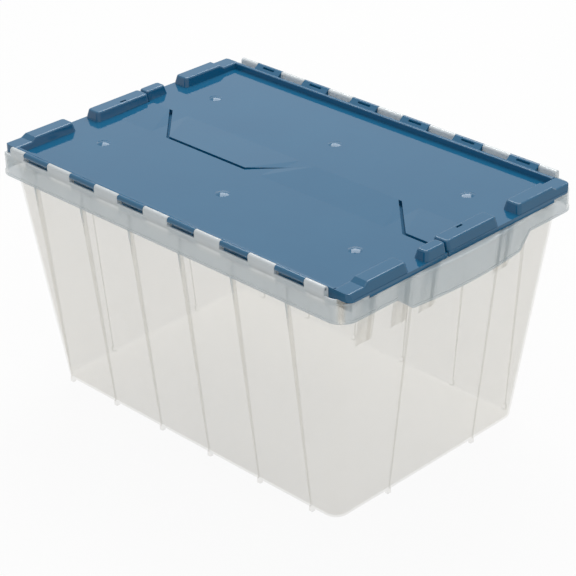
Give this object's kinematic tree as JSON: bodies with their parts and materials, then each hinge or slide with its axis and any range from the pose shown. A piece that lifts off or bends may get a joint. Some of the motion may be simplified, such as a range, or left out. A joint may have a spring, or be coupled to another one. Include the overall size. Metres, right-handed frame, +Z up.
{
  "type": "storage container with attached lid",
  "caption": "Tapered translucent plastic storage tub whose attached lid splits along a wavy seam into hinged halves that fold down over the long sides.",
  "frame": {"origin": "centre of the tub's base on the floor", "axes": "+X along the long side, -Y the front, +Z up"},
  "size_m": [0.5648, 0.374, 0.3078],
  "materials": {
    "tub_plastic": "frosted translucent moulded polypropylene",
    "lid_plastic": "semi-gloss blue moulded polypropylene",
    "steel": "drawn steel, zinc plated"
  },
  "bodies": {
    "tub": {"tub": "tub_plastic", "front_hinge_rod": "steel", "rear_hinge_rod": "steel", "front_rail": "steel", "rear_rail": "steel"},
    "front_lid": {"front_lid": "lid_plastic"},
    "rear_lid": {"rear_lid": "lid_plastic"}
  },
  "joints": [
    {"name": "front_lid_hinge", "type": "hinge", "parent": "tub", "child": "front_lid", "pos_m": [0, -0.183, 0.3045], "axis": [1, 0, 0], "range_deg": [0, 245]},
    {"name": "rear_lid_hinge", "type": "hinge", "parent": "tub", "child": "rear_lid", "pos_m": [0, 0.183, 0.3045], "axis": [-1, 0, 0], "range_deg": [0, 245]}
  ]
}
